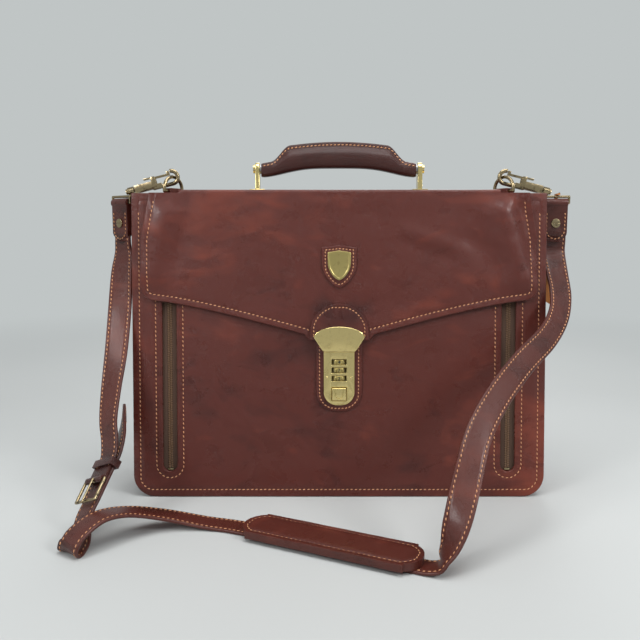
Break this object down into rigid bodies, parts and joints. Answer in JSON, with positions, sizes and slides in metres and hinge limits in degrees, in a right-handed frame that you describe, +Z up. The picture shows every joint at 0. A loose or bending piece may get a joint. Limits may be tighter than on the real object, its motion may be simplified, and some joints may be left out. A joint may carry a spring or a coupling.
{
  "type": "leather briefcase",
  "caption": "Red-brown leather flap briefcase with a brass combination lock, zipped front pockets, a padded handle and a clip-on shoulder strap with a pad.",
  "frame": {"origin": "middle of the base, on the surface that the case stands on", "axes": "+Z up, +X to the right as seen from the front, -Y out of the flap's face"},
  "size_m": [0.4397, 0.2363, 0.3286],
  "materials": {
    "leather": "gloss",
    "lining": "matte",
    "cloth": "matte",
    "tape": "matte",
    "coil": "satin",
    "brass": "satin",
    "antique_brass": "satin",
    "steel": "satin",
    "suede": "matte"
  },
  "bodies": {
    "case": {"front_panel": "leather", "back_panel": "leather", "base_panel": "leather", "gusset_left": "leather", "gusset_right": "leather", "divider": "lining", "slip_pocket": "lining", "pocket_bag_left": "cloth", "pocket_bag_right": "cloth", "zip_tape_left": "tape", "zip_tape_right": "tape", "zip_coil_left": "coil", "zip_coil_right": "coil", "lock_patch": "leather", "lock_plate": "brass", "lock_case": "brass", "lock_backing": "lining", "dial_axle": "steel", "ring_tab_left": "leather", "ring_tab_right": "leather", "d_ring_left": "antique_brass", "d_ring_right": "antique_brass", "hook_eye_left": "antique_brass", "hook_eye_right": "antique_brass", "strap_fold_left": "leather", "strap_fold_right": "leather", "strap_stud_left": "antique_brass", "strap_stud_right": "antique_brass", "strap_short": "leather", "strap_long": "leather", "shoulder_pad": "leather", "strap_keeper": "leather", "strap_buckle": "antique_brass", "hide_tag": "suede"},
    "zip_left": {"zip_slider_left": "antique_brass", "zip_pull_left": "antique_brass"},
    "zip_right": {"zip_slider_right": "antique_brass", "zip_pull_right": "antique_brass"},
    "upper_dial": {"dial_upper": "brass"},
    "middle_dial": {"dial_middle": "brass"},
    "lower_dial": {"dial_lower": "brass"},
    "button": {"release_button": "brass"},
    "bolt": {"latch_bolt": "steel"},
    "flap_back": {"flap_top": "leather", "handle_bracket_left": "brass", "handle_bracket_right": "brass", "handle_pin_left": "brass", "handle_pin_right": "brass"},
    "flap_face": {"flap_front": "leather", "hasp_patch": "leather", "hasp": "brass", "emblem_patch": "leather", "emblem_shield": "brass"},
    "handle": {"handle_bar": "steel", "handle_grip": "leather"},
    "hook_left": {"snap_hook_left": "antique_brass"},
    "hook_right": {"snap_hook_right": "antique_brass"},
    "gate_left": {"hook_gate_left": "antique_brass"},
    "gate_right": {"hook_gate_right": "antique_brass"},
    "prong": {"buckle_prong": "antique_brass"}
  },
  "joints": [
    {"name": "flap_back_fold", "type": "hinge", "parent": "case", "child": "flap_back", "pos_m": [0, 0.028, 0.282], "axis": [-1, 0, 0], "range_deg": [0, 120]},
    {"name": "flap_front_fold", "type": "hinge", "parent": "flap_back", "child": "flap_face", "pos_m": [0, -0.02072, 0.282], "axis": [-1, 0, 0], "range_deg": [0, 150]},
    {"name": "handle_swing", "type": "hinge", "parent": "flap_back", "child": "handle", "pos_m": [0, 0.00564, 0.3025], "axis": [1, 0, 0], "range_deg": [-70, 70]},
    {"name": "zip_left_slide", "type": "slide", "parent": "case", "child": "zip_left", "axis": [0, -0.0848, -0.9964], "range_m": [0, 0.18]},
    {"name": "zip_right_slide", "type": "slide", "parent": "case", "child": "zip_right", "axis": [0, -0.0848, -0.9964], "range_m": [0, 0.18]},
    {"name": "upper_dial_turn", "type": "hinge", "parent": "case", "child": "upper_dial", "pos_m": [0, -0.02505, 0.12498], "axis": [0, 0.0848, 0.9964], "continuous": true},
    {"name": "middle_dial_turn", "type": "hinge", "parent": "case", "child": "middle_dial", "pos_m": [0, -0.02568, 0.11751], "axis": [0, 0.0848, 0.9964], "continuous": true},
    {"name": "lower_dial_turn", "type": "hinge", "parent": "case", "child": "lower_dial", "pos_m": [0, -0.02632, 0.11004], "axis": [0, 0.0848, 0.9964], "continuous": true},
    {"name": "button_press", "type": "slide", "parent": "case", "child": "button", "axis": [0, 0.9964, -0.0848], "range_m": [0, 0.0016], "stiffness_N_per_m": 400},
    {"name": "bolt_drop", "type": "slide", "parent": "case", "child": "bolt", "axis": [0, -0.0848, -0.9964], "range_m": [0, 0.0015]},
    {"name": "hook_left_swivel", "type": "hinge", "parent": "case", "child": "hook_left", "pos_m": [-0.19534, 0.00564, 0.28235], "axis": [0.9703, 0, 0.2419], "range_deg": [-10, 0]},
    {"name": "gate_left_press", "type": "hinge", "parent": "hook_left", "child": "gate_left", "pos_m": [-0.17438, 0.00564, 0.29335], "axis": [0, 1, 0], "range_deg": [0, 4], "stiffness_Nm_per_rad": 0.02},
    {"name": "hook_right_swivel", "type": "hinge", "parent": "case", "child": "hook_right", "pos_m": [0.19534, 0.00564, 0.28235], "axis": [-0.9703, 0, 0.2419], "range_deg": [0, 10]},
    {"name": "gate_right_press", "type": "hinge", "parent": "hook_right", "child": "gate_right", "pos_m": [0.17438, 0.00564, 0.29335], "axis": [0, -1, 0], "range_deg": [0, 4], "stiffness_Nm_per_rad": 0.02},
    {"name": "prong_lift", "type": "hinge", "parent": "case", "child": "prong", "pos_m": [-0.2027, -0.10647, 0.04038], "axis": [-0.7646, 0.5425, -0.3479], "range_deg": [0, 100]}
  ],
  "couplings": [
    {"joint": "bolt_drop", "follows": "button_press", "ratio": 0.9375}
  ]
}
